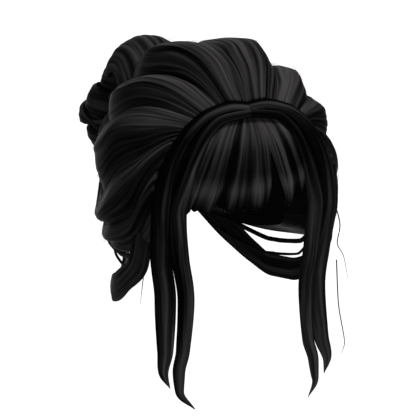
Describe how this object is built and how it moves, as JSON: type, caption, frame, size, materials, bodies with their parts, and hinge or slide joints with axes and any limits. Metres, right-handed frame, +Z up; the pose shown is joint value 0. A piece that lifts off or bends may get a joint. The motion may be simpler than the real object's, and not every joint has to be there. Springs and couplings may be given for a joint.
{
  "type": "bun hairpiece",
  "caption": "Black updo wig with a pleated crown swept back to a coiled bun, a full fringe, long face-framing locks and loose hair looped round the nape.",
  "frame": {"origin": "where the top of the wearer's head touches the inside of the crown", "axes": "+Z up out of the top of the head, -Y the way the face looks, +X the wearer's left"},
  "size_m": [0.2308, 0.3085, 0.3369],
  "materials": {
    "crown_hair": "glossy straight synthetic hair, near black, combed back in folds",
    "fringe_hair": "glossy straight synthetic hair, near black, in clumps",
    "lock_hair": "glossy synthetic hair, near black, slightly waved",
    "nape_hair": "glossy synthetic hair, near black, loose bands and strands",
    "bun_hair": "glossy synthetic hair, near black, wound in bands"
  },
  "bodies": {
    "root": {"crown": "crown_hair", "fringe": "fringe_hair", "outer_lock_left": "lock_hair", "outer_lock_right": "lock_hair", "inner_lock_left": "lock_hair", "inner_lock_right": "lock_hair", "nape_band_left": "nape_hair", "nape_band_right": "nape_hair", "nape_strand_left": "nape_hair", "nape_strand_right": "nape_hair", "nape_fine_strand_left": "nape_hair", "nape_fine_strand_right": "nape_hair", "bun_core": "bun_hair", "bun_coil_upper": "bun_hair", "bun_coil_middle": "bun_hair", "bun_coil_lower": "bun_hair", "bun_coil_base": "bun_hair", "bun_cap": "bun_hair"}
  },
  "joints": []
}
